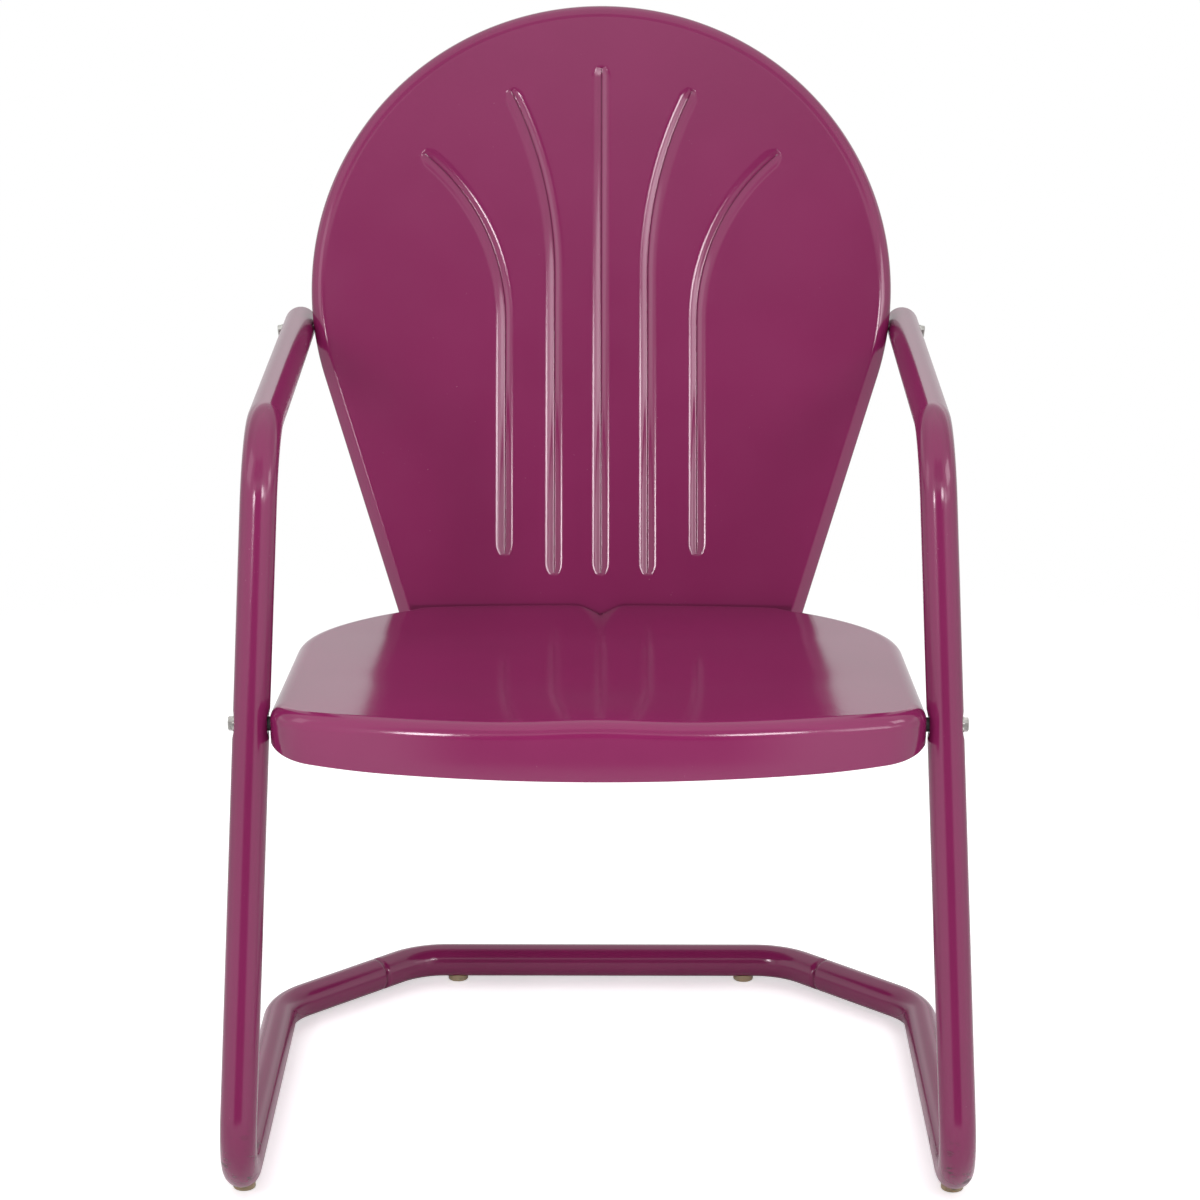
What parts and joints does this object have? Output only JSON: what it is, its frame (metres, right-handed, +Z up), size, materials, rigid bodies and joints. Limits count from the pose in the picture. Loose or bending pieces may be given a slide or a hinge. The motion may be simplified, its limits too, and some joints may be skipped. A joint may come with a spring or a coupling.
{
  "type": "steel armchair",
  "caption": "Retro outdoor metal armchair: pressed shell back with flared ribs and pressed seat bolted to a cantilever bent-tube frame that is arm, leg and floor runner in one.",
  "frame": {"origin": "on the floor, under the middle of the chair's overall box", "axes": "+X to the right seen from the front, the chair faces -Y, +Z up"},
  "size_m": [0.576, 0.682, 0.8395],
  "materials": {
    "enamel": "glossy raspberry-plum enamel on sheet and tube",
    "glide": "translucent amber plastic",
    "plated_steel": "bright zinc plate",
    "spacer": "black moulded plastic"
  },
  "bodies": {
    "root": {"seat_pan": "enamel", "back_shell": "enamel", "left_side_frame": "enamel", "right_side_frame": "enamel", "rear_crossbar": "enamel", "front_left_glide": "glide", "front_right_glide": "glide", "rear_left_glide": "glide", "rear_right_glide": "glide", "left_arm_bolt": "plated_steel", "right_arm_bolt": "plated_steel", "left_arm_washer": "plated_steel", "right_arm_washer": "plated_steel", "left_arm_nut": "plated_steel", "right_arm_nut": "plated_steel", "left_seat_bolt": "plated_steel", "right_seat_bolt": "plated_steel", "left_seat_washer": "plated_steel", "right_seat_washer": "plated_steel", "left_seat_spacer": "spacer", "right_seat_spacer": "spacer", "left_seat_nut": "plated_steel", "right_seat_nut": "plated_steel", "back_seat_bolts": "plated_steel", "back_seat_washers": "plated_steel", "back_seat_nuts": "plated_steel"}
  },
  "joints": []
}
